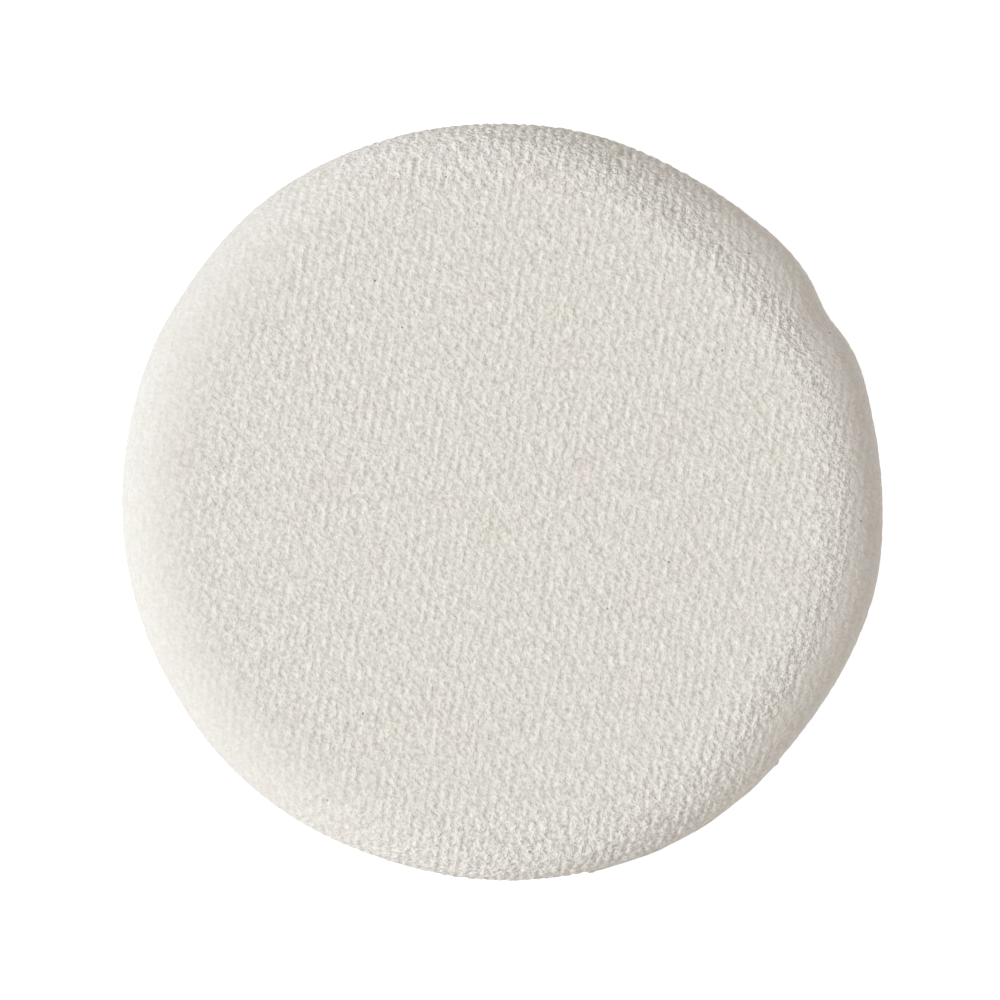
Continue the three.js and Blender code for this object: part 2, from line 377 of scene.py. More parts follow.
def revolved(name, section, counts, flat_place, uneven):
    """A closed mesh turned about the axis: each point of the section becomes a ring of its count of points.
    flat_place is each ring's radius on the cloth laid flat, kept as the attribute "cloth", and "opening" is
    how open its pile stands. uneven is for the face and its sponge: a lumpy roll, and the pile stroked."""
    starts = np.r_[0, np.cumsum(counts)]
    places, cloths, openings, faces = [], [], [], []
    for (radius, height), count, flat in zip(section, counts, flat_place):
        around = math.tau * np.arange(count) / count
        reach = radius + rim_bulge(around) * smooth_step(rim_radius - roll_width, rim_radius, radius)
        shift = roll_shift(radius, height, around) if uneven else 0 * around
        reach -= shift
        cloth = flat - shift
        places.append(np.c_[reach * np.cos(around), reach * np.sin(around), np.full(count, height)])
        cloths.append(np.c_[cloth * np.cos(around), cloth * np.sin(around), np.zeros(count)])
        openings.append(pile_opening(reach, around, uneven))
    for first, second, start, other in zip(counts[:-1], counts[1:], starts[:-1], starts[1:]):
        turns = np.r_[np.arange(1, first + 1) / first, np.arange(1, second + 1) / second]
        outer = np.r_[np.zeros(first, bool), np.ones(second, bool)]
        order = np.lexsort((outer, turns))
        outer = outer[order]
        here = np.cumsum(~outer) - ~outer
        there = np.cumsum(outer) - outer
        a = start + here % first
        b = other + there % second
        c = np.where(outer, other + (there + 1) % second, start + (here + 1) % first)
        keep = (first > 1) | outer
        keep &= (second > 1) | ~outer
        faces.append(np.c_[a, b, c][keep])
    mesh = bpy.data.meshes.new(name)
    faces = np.vstack(faces)
    places = np.vstack(places)
    mesh.vertices.add(len(places))
    mesh.vertices.foreach_set("co", places.astype(np.float32).ravel())
    mesh.loops.add(faces.size)
    mesh.loops.foreach_set("vertex_index", faces.astype(np.int32).ravel())
    mesh.polygons.add(len(faces))
    mesh.polygons.foreach_set("loop_start", np.arange(0, faces.size, 3, dtype=np.int32))
    mesh.update(calc_edges=True)
    mesh.validate()
    mesh.shade_smooth()
    keep_attribute(mesh, "cloth", "FLOAT_VECTOR", np.vstack(cloths))
    keep_attribute(mesh, "opening", "FLOAT", np.concatenate(openings))
    return mesh


def keep_attribute(mesh, name, kind, values):
    attribute = mesh.attributes.new(name, kind, "POINT")
    field = "vector" if kind == "FLOAT_VECTOR" else "value"
    attribute.data.foreach_set(field, values.astype(np.float32).ravel())


def ring_counts(section, step):
    counts = 6 * np.maximum(1, np.round(math.tau * section[:, 0] / step / 6)).astype(int)
    return np.where(section[:, 0] < step / 4, 1, counts)


def cloth_shell(name, height, crown, rest, uneven):
    """One cloth as a closed shell, with heights from the seam: pile side, seam allowance, inside. Also how
    far each point's pile stands free, not at all where the seam holds it, and how many points face out."""
    pile_side, along = spaced(cloth_section(height, crown, rest), grain)
    allowance_top = fold_opening / 2 + seam_cloth_thickness
    edge = np.array([
        [seam_allowance_edge, fold_opening / 2],
        [seam_allowance_edge, allowance_top],
        [rim_radius - cloth_thickness, allowance_top],
    ])
    inside = cloth_section(height, crown, rest, cloth_thickness)
    inside = inside[(inside[:, 1] > allowance_top) & (inside[:, 0] < rim_radius - cloth_thickness)]
    inside = spaced(inside, inside_grain)[0][::-1]
    pile_counts = ring_counts(pile_side, grain)
    inside_counts = ring_counts(inside, inside_grain)
    counts = [*pile_counts, pile_counts[-1], pile_counts[-1] // 2, inside_counts[0], *inside_counts]
    flat_place = [*along, *(along[-1] + np.arange(1, 4) * mm), *inside[:, 0]]
    mesh = revolved(name, np.vstack([pile_side, edge, inside]), counts, flat_place, uneven)
    standing = smooth_step(held_height, free_height, pile_side[:, 1])
    standing = np.r_[np.repeat(standing, pile_counts), np.zeros(sum(counts) - sum(pile_counts))]
    return mesh, standing, sum(pile_counts) + pile_counts[-1]


def geometry_tree(name, sizes):
    """A Geometry Nodes tree with one named input for each size: its graph, and the inputs' values."""
    tree = bpy.data.node_groups.new(name, "GeometryNodeTree")
    graph = Graph(tree)
    tree.interface.new_socket("Geometry", in_out="INPUT", socket_type="NodeSocketGeometry")
    for size in sizes:
        kind = "NodeSocketInt" if size in ("Seed", "Share", "Shares") else "NodeSocketFloat"
        tree.interface.new_socket(size, in_out="INPUT", socket_type=kind)
    tree.interface.new_socket("Geometry", in_out="OUTPUT", socket_type="NodeSocketGeometry")
    start = tree.nodes.new("NodeGroupInput")
    return graph, {socket.name: Value(graph, socket) for socket in start.outputs if socket.name}


def close_tree(graph, geometry, material):
    geometry = graph.add("GeometryNodeRealizeInstances", None, {"Geometry": geometry})
    geometry = graph.add("GeometryNodeSetMaterial", None, {"Geometry": geometry, "Material": material})
    end = graph.tree.nodes.new("NodeGroupOutput")
    graph.tree.links.new(geometry.socket, end.inputs["Geometry"])
    return graph.tree


def grown(name, source, tree, sizes):
    """Runs a Geometry Nodes tree on a mesh, and keeps what comes out as a plain mesh object."""
    piece = new_object(name, source)
    modifier = piece.modifiers.new(name, "NODES")
    modifier.node_group = tree
    for item in tree.interface.items_tree:
        if item.in_out == "INPUT" and item.name in sizes:
            modifier[item.identifier] = sizes[item.name]
    evaluated = piece.evaluated_get(bpy.context.evaluated_depsgraph_get())
    mesh = bpy.data.meshes.new_from_object(evaluated)
    piece.modifiers.remove(modifier)
    piece.data = mesh
    mesh.name = name
    return piece


rib_spacing = 0.8626 * mm
tuft_spacing = 1.736 * mm  # along a rib
tuft_offset = 0.4  # of the tuft spacing, from one rib to the next
rib_turn = math.radians(-9)  # across the ribs, in the picture
rib_wander = 0.5  # of the rib spacing
rib_wander_length = 7 * mm
row_wander = 0.6  # of the tuft spacing
row_wander_length = 3 * mm
rib_height = 0.49  # shares of the tufts' height: that of the ribs,
rib_top_height = 0.2  # of their tops,
forward_height = 0.28  # and of the rows in which the tufts run on across the ribs, one way
backward_height = 0.22  # and the other
clump_stretch = 1.1  # how much longer than wide, along the ribs
lump_stretch = 1.3
across_ribs = turn @ Vector((math.cos(rib_turn), math.sin(rib_turn), 0))
along_ribs = turn @ Vector((-math.sin(rib_turn), math.cos(rib_turn), 0))
relief = {
    "Rib spacing": rib_spacing,
    "Tuft spacing": tuft_spacing,
    "Tuft offset": tuft_offset,
    "Relief": 0.112 * mm,
    "Unevenness": 3.4,
    "Clump": 0.42 * mm,
    "Lump": 1.1 * mm,
    "Lumpiness": 1.1,
    "Under the tips": 0.12 * mm,
}

velour_pile = (0.870, 0.853, 0.807, 1)
# The darker end is painted shade in the gaps between the tufts and down the pile, and also the darker tone of
# strands that differs at random.
velour_gap_shade_and_tone = (0.624, 0.601, 0.565, 1)
pink_tint = (1.0, 0.955, 0.955, 1)
green_tint = (0.985, 1.0, 0.955, 1)
tint_size = 5 * mm
tint_shift = 70 * mm  # from the pink patches to the green ones
tint_stops = [(0.58, (0, 0, 0, 1)), (0.78, (1, 1, 1, 1))]
strand_size = 0.37 * mm
strand_stretch = 0.85
cluster_size = 1.0 * mm
cluster_stretch = 1.2
tip_painted_light = 0.4  # how much lighter than the gaps the tips are, which is painted shade in the gaps between tufts, and the strands and the clusters of strands, which is tone that differs at random
strand_light = 1.8
cluster_light = 0.65
open_painted_light = 0.32  # painted light and shade: how much lighter the pile is made where it stands twice as open, so the roll is darker at the lamp's side and at the very rim opposite
strand_relief = 0.22 * mm
velour_fleck = (0.36, 0.34, 0.31, 1)
fleck_spacing = 3.2 * mm
fleck_radius = 0.1 * mm
fleck_share = 0.03


def drawn_out(graph, place, stretch):
    """A place on the flat cloth, by its distances across the ribs and, shortened, along them."""
    across = graph.vector("DOT_PRODUCT", place, across_ribs)
    along = graph.vector("DOT_PRODUCT", place, along_ribs)
    return graph.add("ShaderNodeCombineXYZ", None, {0: across, 1: along / stretch})


velour, graph = new_material("velour")
place = graph.add("ShaderNodeAttribute", {"attribute_name": "cloth"}, None, "Vector")
tip = graph.add("ShaderNodeAttribute", {"attribute_name": "tip"}, None, "Fac")
opening = graph.add("ShaderNodeAttribute", {"attribute_name": "opening"}, None, "Fac")
strand = graph.noise(drawn_out(graph, place, strand_stretch), 1 / strand_size, 2.0, 0.58)
cluster = graph.noise(drawn_out(graph, place, cluster_stretch), 1 / cluster_size, 1.0, 0.5)
# Painted shade: the velour is made darker where its tufts are low and down each point of the pile. The
# strands and clusters add a random tone of its own.
light = (tip - 0.5) * tip_painted_light + (strand - 0.5) * strand_light + (cluster - 0.5) * cluster_light
# Painted light and shade by side: the colour's lightness and contrast follow the pile's opening. The roll is
# darker and flatter toward the lamp and at the very rim opposite, and lighter where the roll spreads the
# pile.
light = light * opening + 0.5
light += (opening - 1) * open_painted_light
color = graph.blend(graph.add("ShaderNodeClamp", None, {0: light}), velour_gap_shade_and_tone, velour_pile)
for tint, shift in ((pink_tint, 0.0), (green_tint, tint_shift)):
    shifted = graph.vector("ADD", place, (shift, shift, shift))
    patch = graph.noise(shifted, 1 / tint_size, 2.0, 0.5)
    patch = graph.add("ShaderNodeValToRGB", {"stops": tint_stops}, {0: patch})
    color = graph.blend(patch, color, graph.blend(1.0, color, tint, "MULTIPLY"))
inputs = {"Vector": place, "Scale": 1 / fleck_spacing}
cell = graph.add("ShaderNodeTexVoronoi", {"voronoi_dimensions": "2D"}, inputs)
chance = graph.add("ShaderNodeSeparateColor", None, {0: Value(graph, cell.socket.node.outputs["Color"])})
fleck = (cell * fleck_spacing).math("LESS_THAN", fleck_radius) * chance.math("LESS_THAN", fleck_share)
color = graph.blend(fleck, color, velour_fleck)
inputs = {"Strength": 1.0, "Distance": strand_relief, "Height": strand * opening}
bump = graph.add("ShaderNodeBump", None, inputs)
inputs = {
    "Base Color": color,
    "Roughness": 0.95,
    "Specular IOR Level": 0.15,
    "Sheen Weight": 0.15,
    "Sheen Roughness": 0.6,
    "Normal": bump,
}
surface = graph.add("ShaderNodeBsdfPrincipled", None, inputs)
graph.add("ShaderNodeOutputMaterial", None, {"Surface": surface})

graph, size = geometry_tree("tufted ribs", relief)
place = graph.add("GeometryNodeInputNamedAttribute", {"data_type": "FLOAT_VECTOR"}, {"Name": "cloth"})
standing = graph.add("GeometryNodeInputNamedAttribute", {"data_type": "FLOAT"}, {"Name": "standing"})
opening = graph.add("GeometryNodeInputNamedAttribute", {"data_type": "FLOAT"}, {"Name": "opening"})
across = graph.vector("DOT_PRODUCT", place, across_ribs)
along = graph.vector("DOT_PRODUCT", place, along_ribs)
wander = (graph.noise(place, 1 / rib_wander_length, 1.0) - 0.5) * rib_wander
rib = across / size["Rib spacing"] + wander
wander = (graph.noise(place, 1 / row_wander_length, 1.0) - 0.5) * row_wander
row = along / size["Tuft spacing"] + wander
ribs = (rib * math.tau).math("COSINE")
forward = ((rib * (1 - size["Tuft offset"]) + row) * math.tau).math("COSINE")
backward = ((rib * size["Tuft offset"] - row) * math.tau).math("COSINE")
tufts = ribs * rib_height + ribs * ribs * rib_top_height + forward * forward_height
tufts += backward * backward_height
clumps = graph.noise(drawn_out(graph, place, clump_stretch), 1 / size["Clump"], 2.0, 0.6) - 0.5
lumps = graph.noise(drawn_out(graph, place, lump_stretch), 1 / size["Lump"], 1.0, 0.5) - 0.5
height = tufts * 0.5 + clumps * size["Unevenness"] + lumps * size["Lumpiness"]
tip = graph.add("ShaderNodeClamp", None, {0: height + 0.5})
sinking = (1 - tip) * opening * size["Relief"] + size["Under the tips"]
offset = graph.vector("SCALE", graph.add("GeometryNodeInputNormal"), sinking * standing * -1)
geometry = graph.add("GeometryNodeSetPosition", None, {"Geometry": size["Geometry"], "Offset": offset})
stored = {"Geometry": geometry, "Name": "tip", "Value": tip}
geometry = graph.add("GeometryNodeStoreNamedAttribute", {"data_type": "FLOAT", "domain": "POINT"}, stored)
tufted_ribs = close_tree(graph, geometry, velour)

face_height = puff_top - seam_height
face_mesh, standing, _ = cloth_shell("velour_face", face_height, face_crown, math.inf, True)
keep_attribute(face_mesh, "standing", "FLOAT", standing)
face_mesh.transform(Matrix.Translation((0, 0, seam_height)))
velour_face = grown("velour_face", face_mesh, tufted_ribs, relief)

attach(velour_face, "root")
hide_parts("face_cloth")


# The pile of the face: the cut ends of its yarn stand up from the cloth as thousands of small soft points.
# They lean along the ribs, and each a little its own way.
pile = {
    "Spacing": 0.15 * mm,
    "Length": 0.4 * mm,
    "Width": 0.16 * mm,
    "Sunk": 0.16 * mm,
    "Lean": 0.9,
    "Disorder": 0.75,
    "Lowest": -1.0,
    "Share": 0,
    "Shares": 3,
    "Seed": 3,
}
thrown_points = 1.5  # in a square of the spacing, before those that stand too close are dropped
shortest_pile = 0.6  # of the length
length_seed = 9
least_open = 0.5  # the pile's length follows its opening between these two
most_open = 1.2
rise_share = 0.4  # of what makes a point's end lighter, painted shade that darkens each point toward its base. The rest is its tuft's height


def pile_tree(name, sizes, material):
    """A Geometry Nodes tree that grows one share of the pile: small cones on points spread over the cloth,
    each leaning its own way and carrying its tuft's height and its own rise, from which the velour paints
    shade down the pile, and none below the lowest height."""
    graph, size = geometry_tree(name, sizes)
    standing = graph.add("GeometryNodeInputNamedAttribute", {"data_type": "FLOAT"}, {"Name": "standing"})
    inputs = {
        "Mesh": size["Geometry"],
        "Distance Min": size["Spacing"],
        "Density Max": thrown_points / (size["Spacing"] * size["Spacing"]),
        "Density Factor": standing,
        "Seed": size["Seed"],
    }
    points = graph.add("GeometryNodeDistributePointsOnFaces", {"distribute_method": "POISSON"}, inputs)
    upright = Value(graph, points.socket.node.outputs["Normal"])
    stored = {"Geometry": points, "Name": "upright", "Value": upright}
    settings = {"data_type": "FLOAT_VECTOR", "domain": "POINT"}
    points = graph.add("GeometryNodeStoreNamedAttribute", settings, stored)
    upright = graph.add("GeometryNodeInputNamedAttribute", {"data_type": "FLOAT_VECTOR"}, {"Name": "upright"})
    sunk = graph.vector("SCALE", upright, size["Sunk"] * -1)
    points = graph.add("GeometryNodeSetPosition", None, {"Geometry": points, "Offset": sunk})
    ends = {0: (-1, -1, -1), 1: (1, 1, 1), "Seed": size["Seed"]}
    stray = graph.add("FunctionNodeRandomValue", {"data_type": "FLOAT_VECTOR"}, ends)
    stray = graph.vector("SCALE", stray, size["Disorder"])
    lean = graph.vector("ADD", graph.vector("SCALE", -along_ribs, size["Lean"]), stray)
    inputs = {"Vector": graph.vector("ADD", upright, lean)}
    rotation = graph.add("FunctionNodeAlignRotationToVector", {"axis": "Z"}, inputs)
    inputs = {"Vertices": 3, "Radius Top": 0.0, "Radius Bottom": size["Width"] * 0.5, "Depth": size["Length"]}
    cone = graph.add("GeometryNodeMeshCone", None, inputs)
    cone = graph.add("GeometryNodeSetShadeSmooth", None, {"Geometry": cone, "Shade Smooth": True})
    position = graph.add("GeometryNodeInputPosition")
    rise = graph.add("ShaderNodeSeparateXYZ", None, {0: position}, 2) / size["Length"]
    stored = {"Geometry": cone, "Name": "rise", "Value": rise}
    cone = graph.add("GeometryNodeStoreNamedAttribute", {"data_type": "FLOAT", "domain": "POINT"}, stored)
    ends = {2: shortest_pile, 3: 1.0, "Seed": length_seed}
    lengths = graph.add("FunctionNodeRandomValue", {"data_type": "FLOAT"}, ends)
    number = graph.add("GeometryNodeInputIndex").math("MODULO", size["Shares"])
    ours = graph.add("FunctionNodeCompare", {"operation": "EQUAL"}, {0: number, 1: size["Share"]})
    opening = graph.add("GeometryNodeInputNamedAttribute", {"data_type": "FLOAT"}, {"Name": "opening"})
    lengths *= graph.add("ShaderNodeClamp", None, {0: opening, "Min": least_open, "Max": most_open})
    inputs = {"Points": points, "Selection": ours, "Instance": cone, "Rotation": rotation, "Scale": lengths}
    geometry = graph.add("GeometryNodeInstanceOnPoints", None, inputs)
    geometry = graph.add("GeometryNodeRealizeInstances", None, {"Geometry": geometry})
    # The stored tip carries painted shade: each point is darker toward its base and in low tufts.
    tip = graph.add("GeometryNodeInputNamedAttribute", {"data_type": "FLOAT"}, {"Name": "tip"})
    rise = graph.add("GeometryNodeInputNamedAttribute", {"data_type": "FLOAT"}, {"Name": "rise"})
    stored = {"Geometry": geometry, "Name": "tip", "Value": tip * (1 - rise_share) + rise * rise_share}
    geometry = graph.add("GeometryNodeStoreNamedAttribute", {"data_type": "FLOAT", "domain": "POINT"}, stored)
    x, y, z = (graph.add("ShaderNodeSeparateXYZ", None, {0: position}, axis) for axis in range(3))
    pressed = graph.add("ShaderNodeCombineXYZ", None, {0: x, 1: y, 2: z.math("MAXIMUM", size["Lowest"])})
    geometry = graph.add("GeometryNodeSetPosition", None, {"Geometry": geometry, "Position": pressed})
    return close_tree(graph, geometry, material)


standing_pile = pile_tree("standing pile", pile, velour)
for share in range(pile["Shares"]):
    sizes = {**pile, "Share": share}
    piece = grown(f"velour_face_pile_{share + 1}", velour_face.data.copy(), standing_pile, sizes)
    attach(piece, "root")


# The back cloth: a second disc of the same velour, sewn to the first with its pile outward. It is pressed
# flat where the puff lies on it, and under the ribbon its pile is crushed into a shallow channel.
back_bulge = 0.5 * mm  # it would stand out past the table by this much
ribbon_width = 10 * mm
ribbon_thickness = 0.3 * mm
channel_depth = 0.36 * mm
channel_gap = 0.05 * mm  # beside the ribbon
channel_edge = 0.4 * mm
crushed_flat = 0.6  # share of the channel's depth at which no pile stands any more
ribbon_tuck = rim_radius - math.sqrt(rim_radius**2 - (ribbon_width / 2) ** 2)


def ribbon_run(depth, end_radius):
    """The ribbon's way, sunk by a depth: radius and height over the seam, from the back's middle round the
    rim into the seam. The flat ribbon draws the round rim in to its own chord."""
    run = cloth_section(seam_height + back_bulge, 0, seam_height, depth)
    run = np.vstack([run, [end_radius, fold_opening / 2 + depth]])
    run[:, 0] -= ribbon_tuck * smooth_step(rim_radius - roll_width, rim_radius, run[:, 0])
    return run


def mesh_points(mesh):
    places = np.empty(3 * len(mesh.vertices), np.float32)
    mesh.vertices.foreach_get("co", places)
    return places.reshape(-1, 3).astype(float)


back_mesh, standing, outside = cloth_shell("velour_back", seam_height + back_bulge, 0, seam_height, False)
places = mesh_points(back_mesh)
side = np.abs(places[:, 1]) - ribbon_width / 2
crushed = 1 - smooth_step(channel_gap, channel_gap + channel_edge, side)
crushed[outside:] = 0
under = np.flatnonzero(crushed)
floor = spaced(ribbon_run(channel_depth, seam_allowance_edge), grain / 2)[0]
section = np.c_[np.abs(places[under, 0]), places[under, 2]]
nearest = [np.argmin(np.linalg.norm(floor - point, axis=1)) for point in section]
sunk = np.c_[np.copysign(floor[nearest, 0], places[under, 0]), places[under, 1], floor[nearest, 1]]
places[under] += (sunk - places[under]) * crushed[under, None]
back_mesh.vertices.foreach_set("co", places.astype(np.float32).ravel())
keep_attribute(back_mesh, "standing", "FLOAT", standing * (1 - smooth_step(0, crushed_flat, crushed)))
back_mesh.transform(Matrix.Translation((0, 0, seam_height)) @ Matrix.Scale(-1, 4, (0, 0, 1)))
back_mesh.flip_normals()
velour_back = grown("velour_back", back_mesh, tufted_ribs, relief)

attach(velour_back, "root")
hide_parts("back_cloth")


# The pile of the back: the same pile, laid over by the puff's own weight where the puff rests on it.
for share in range(pile["Shares"]):
    sizes = {**pile, "Share": share, "Lowest": 0.0, "Seed": 5}
    piece = grown(f"velour_back_pile_{share + 1}", velour_back.data.copy(), standing_pile, sizes)
    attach(piece, "root")


# The finger ribbon: a double-faced satin ribbon that lies flat across the back and round the rim. Both
# ends are caught between the two cloths in the seam, so it draws the rim in a little there.
ribbon_tail_end = 27.9 * mm
ribbon_step = 0.25 * mm
selvedge_width = 0.5 * mm
selvedge_thickness = 0.04 * mm
ribbon_corner = 0.1 * mm
half = ribbon_width / 2
across = np.r_[
    np.linspace(-half, -half + selvedge_width, 5),
    np.linspace(-half, half, 25)[2:-2],
    np.linspace(half - selvedge_width, half, 5),
]
thick = selvedge_thickness * (1 - smooth_step(0, selvedge_width, half - np.abs(across)))
corner = ribbon_corner * (1 - np.sqrt(1 - (1 - np.clip((half - np.abs(across)) / ribbon_corner, 0, 1)) ** 2))
outer = np.c_[across, thick - corner]
inner = np.c_[across, -ribbon_thickness + corner][::-1]
loop = np.vstack([outer, inner])

run = spaced(ribbon_run(0, ribbon_tail_end), ribbon_step)[0]
run = np.vstack([run[:0:-1] * (-1, 1), run])
ahead = np.gradient(run, axis=0)
outward = np.c_[-ahead[:, 1], ahead[:, 0]] / np.linalg.norm(ahead, axis=1)[:, None]
along = np.r_[0, np.cumsum(np.linalg.norm(np.diff(run, axis=0), axis=1))]
lift = loop[None, :, 1, None] * outward[:, None, :]
section = run[:, None, :] + lift
count = len(loop)
places = np.stack([section[..., 0], np.broadcast_to(loop[:, 0], section.shape[:2]), -section[..., 1]], axis=2)
places[..., 2] += seam_height
row = np.arange(len(run) - 1)[:, None] * count
corners = np.arange(count)[None, :]
following = (corners + 1) % count
quads = np.stack([row + corners, row + following, row + count + following, row + count + corners], axis=2)
quads = quads.reshape(-1, 4).tolist()
last = (len(run) - 1) * count
caps = [list(range(count))[::-1], list(range(last, last + count))]
ribbon_mesh = bpy.data.meshes.new("finger_ribbon_satin")
ribbon_mesh.from_pydata(places.reshape(-1, 3).tolist(), [], quads + caps)
ribbon_mesh.update()
ribbon_mesh.shade_smooth()
along_ribbon = np.repeat(along, count)
across_ribbon = np.tile(loop[:, 0], len(run))
weave = np.stack([along_ribbon, across_ribbon, 0 * along_ribbon], axis=1)
keep_attribute(ribbon_mesh, "weave", "FLOAT_VECTOR", weave)

satin_color = (0.86, 0.82, 0.74, 1)
satin_dark = (0.74, 0.69, 0.60, 1)
weft_spacing = 0.16 * mm
warp_size = 0.09 * mm
warp_stretch = 14
warp_share = 0.7  # of the shade and of the height
selvedge_shade = 0.25
selvedge_start = 4.45 * mm  # from the ribbon's middle
selvedge_blend = 0.2 * mm
weft_height = 0.18
selvedge_weft_height = 0.9  # more than in the middle
satin_relief = 0.04 * mm
satin, graph = new_material("satin")
place = graph.add("ShaderNodeAttribute", {"attribute_name": "weave"}, None, "Vector")
along_ribbon = graph.add("ShaderNodeSeparateXYZ", None, {0: place}, 0)
across_ribbon = graph.add("ShaderNodeSeparateXYZ", None, {0: place}, 1)
weft = (along_ribbon * (math.tau / weft_spacing)).math("SINE") * 0.5 + 0.5
warp = graph.add("ShaderNodeCombineXYZ", None, {0: along_ribbon / warp_stretch, 1: across_ribbon})
warp = graph.noise(warp, 1 / warp_size, 2.0, 0.6)
edge = (across_ribbon.math("ABSOLUTE") - selvedge_start) / selvedge_blend
edge = graph.add("ShaderNodeClamp", None, {0: edge})
color = graph.blend(warp * warp_share + edge * selvedge_shade, satin_color, satin_dark)
height = warp * warp_share + weft * (edge * selvedge_weft_height + weft_height)
bump = graph.add("ShaderNodeBump", None, {"Strength": 0.5, "Distance": satin_relief, "Height": height})
inputs = {
    "Base Color": color,
    "Roughness": warp * 0.2 + 0.32,
    "Specular IOR Level": 0.6,
    "Sheen Weight": 0.1,
    "Anisotropic": 0.5,
    "Normal": bump,
}
surface = graph.add("ShaderNodeBsdfPrincipled", None, inputs)
graph.add("ShaderNodeOutputMaterial", None, {"Surface": surface})
ribbon_mesh.materials.append(satin)
finger_ribbon = new_object("finger_ribbon_satin", ribbon_mesh)

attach(finger_ribbon, "root")
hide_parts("finger_ribbon")


# The sponge: a disc of soft open-celled foam that fills the puff. It is grooved round its edge by the two
# seam allowances, and its cut cells show as small round pores.
sponge_gap = 0.1 * mm
sponge_grain = 0.4 * mm
groove_gap = 0.3 * mm
groove_radius = seam_allowance_edge - groove_gap
groove_height = fold_opening / 2 + seam_cloth_thickness + sponge_gap
lip_radius = 30.1 * mm
corner_rounding = 3  # times that each point of the section is moved toward its neighbours
pores = {
    "Pore": 0.95 * mm,
    "Small pore": 0.5 * mm,
    "Depth": 0.22 * mm,
}


def sponge_half(height, crown, rest):
    skin = cloth_section(height, crown, rest, cloth_thickness + sponge_gap)
    skin = skin[skin[:, 0] < lip_radius]
    lip = skin[-1, 1]
    return np.vstack([skin, [lip_radius, lip], [lip_radius, groove_height], [groove_radius, groove_height]])


upper = sponge_half(face_height, face_crown, math.inf)
lower = sponge_half(seam_height + back_bulge, 0, seam_height) * (1, -1)
section = spaced(np.vstack([upper, lower[::-1]]), sponge_grain)[0]
for _ in range(corner_rounding):
    section[1:-1] = section[1:-1] * 0.5 + (section[:-2] + section[2:]) * 0.25
counts = ring_counts(section, sponge_grain)
sponge_mesh = revolved("sponge_disc", section, counts, section[:, 0], True)
sponge_mesh.transform(Matrix.Translation((0, 0, seam_height)))

sponge_color = (0.88, 0.80, 0.62, 1)
sponge_pore_shade_and_tone = (0.60, 0.50, 0.33, 1)
cell_size = 0.3 * mm
cell_relief = 0.1 * mm
shade_size = 6 * mm
pore_narrowing = 2.2  # the more, the smaller a pore is in its own part of the sponge
small_pore_narrowing = 2.6
small_pore_depth = 0.6  # of a pore's
sponge, graph = new_material("sponge")
place = graph.add("ShaderNodeTexCoord", None, None, "Object")
open_cell = graph.add("ShaderNodeAttribute", {"attribute_name": "pore"}, None, "Fac")
cells = graph.add("ShaderNodeTexVoronoi", None, {"Vector": place, "Scale": 1 / cell_size})
# Painted shade: the sponge is made darker in its pores and in the hollows of its cells, over a random tone of
# its own.
shade = graph.noise(place, 1 / shade_size, 2.0) * 0.3 + open_cell * 0.9 + (0.5 - cells) * 0.25
color = graph.blend(graph.add("ShaderNodeClamp", None, {0: shade}), sponge_color, sponge_pore_shade_and_tone)
bump = graph.add("ShaderNodeBump", None, {"Strength": 0.8, "Distance": cell_relief, "Height": cells})
inputs = {"Base Color": color, "Roughness": 0.9, "Specular IOR Level": 0.2, "Normal": bump}
surface = graph.add("ShaderNodeBsdfPrincipled", None, inputs)
graph.add("ShaderNodeOutputMaterial", None, {"Surface": surface})

graph, size = geometry_tree("open cells", pores)
position = graph.add("GeometryNodeInputPosition")
big, small = (
    graph.add("ShaderNodeTexVoronoi", None, {"Vector": position, "Scale": 1 / size[name]})
    for name in ("Pore", "Small pore")
)
small_pore = (1 - small * small_pore_narrowing) * small_pore_depth
pore = (1 - big * pore_narrowing).math("MAXIMUM", small_pore).math("MAXIMUM", 0.0)
offset = graph.vector("SCALE", graph.add("GeometryNodeInputNormal"), pore * size["Depth"] * -1)
geometry = graph.add("GeometryNodeSetPosition", None, {"Geometry": size["Geometry"], "Offset": offset})
stored = {"Geometry": geometry, "Name": "pore", "Value": pore}
geometry = graph.add("GeometryNodeStoreNamedAttribute", {"data_type": "FLOAT", "domain": "POINT"}, stored)
sponge_disc = grown("sponge_disc", sponge_mesh, close_tree(graph, geometry, sponge), pores)

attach(sponge_disc, "root")
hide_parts("foam_core")


# The seam threads: a machine lockstitch all round, sewn inside out and then turned in. The needle thread
# lies on one seam allowance and the bobbin thread on the other, and they lock at each hole.
stitch_length = 3 * mm
stitch_radius = 30.5 * mm
stitch_height = 1.21 * mm  # over the seam
stitch_pull = 0.75 * mm  # how far each stitch draws down into its hole
stitch_sharpness = 12
thread_step = 0.12 * mm
ply_reach = 0.577  # of a ply's thickness, from the thread's middle, so that three plies touch
thread = {
    "Ply": 0.14 * mm,
    "Twist": 0.7 * mm,
}

thread_color = (0.88, 0.86, 0.81, 1)
thread_shade = (0.76, 0.73, 0.67, 1)
fibre_size = 0.05 * mm
fibre_relief = 0.02 * mm
polyester, graph = new_material("polyester thread")
place = graph.add("ShaderNodeTexCoord", None, None, "Object")
fibres = graph.noise(place, 1 / fibre_size, 2.0, 0.6)
bump = graph.add("ShaderNodeBump", None, {"Strength": 0.4, "Distance": fibre_relief, "Height": fibres})
inputs = {
    "Base Color": graph.blend(fibres, thread_shade, thread_color),
    "Roughness": 0.55,
    "Sheen Weight": 0.2,
    "Normal": bump,
}
surface = graph.add("ShaderNodeBsdfPrincipled", None, inputs)
graph.add("ShaderNodeOutputMaterial", None, {"Surface": surface})

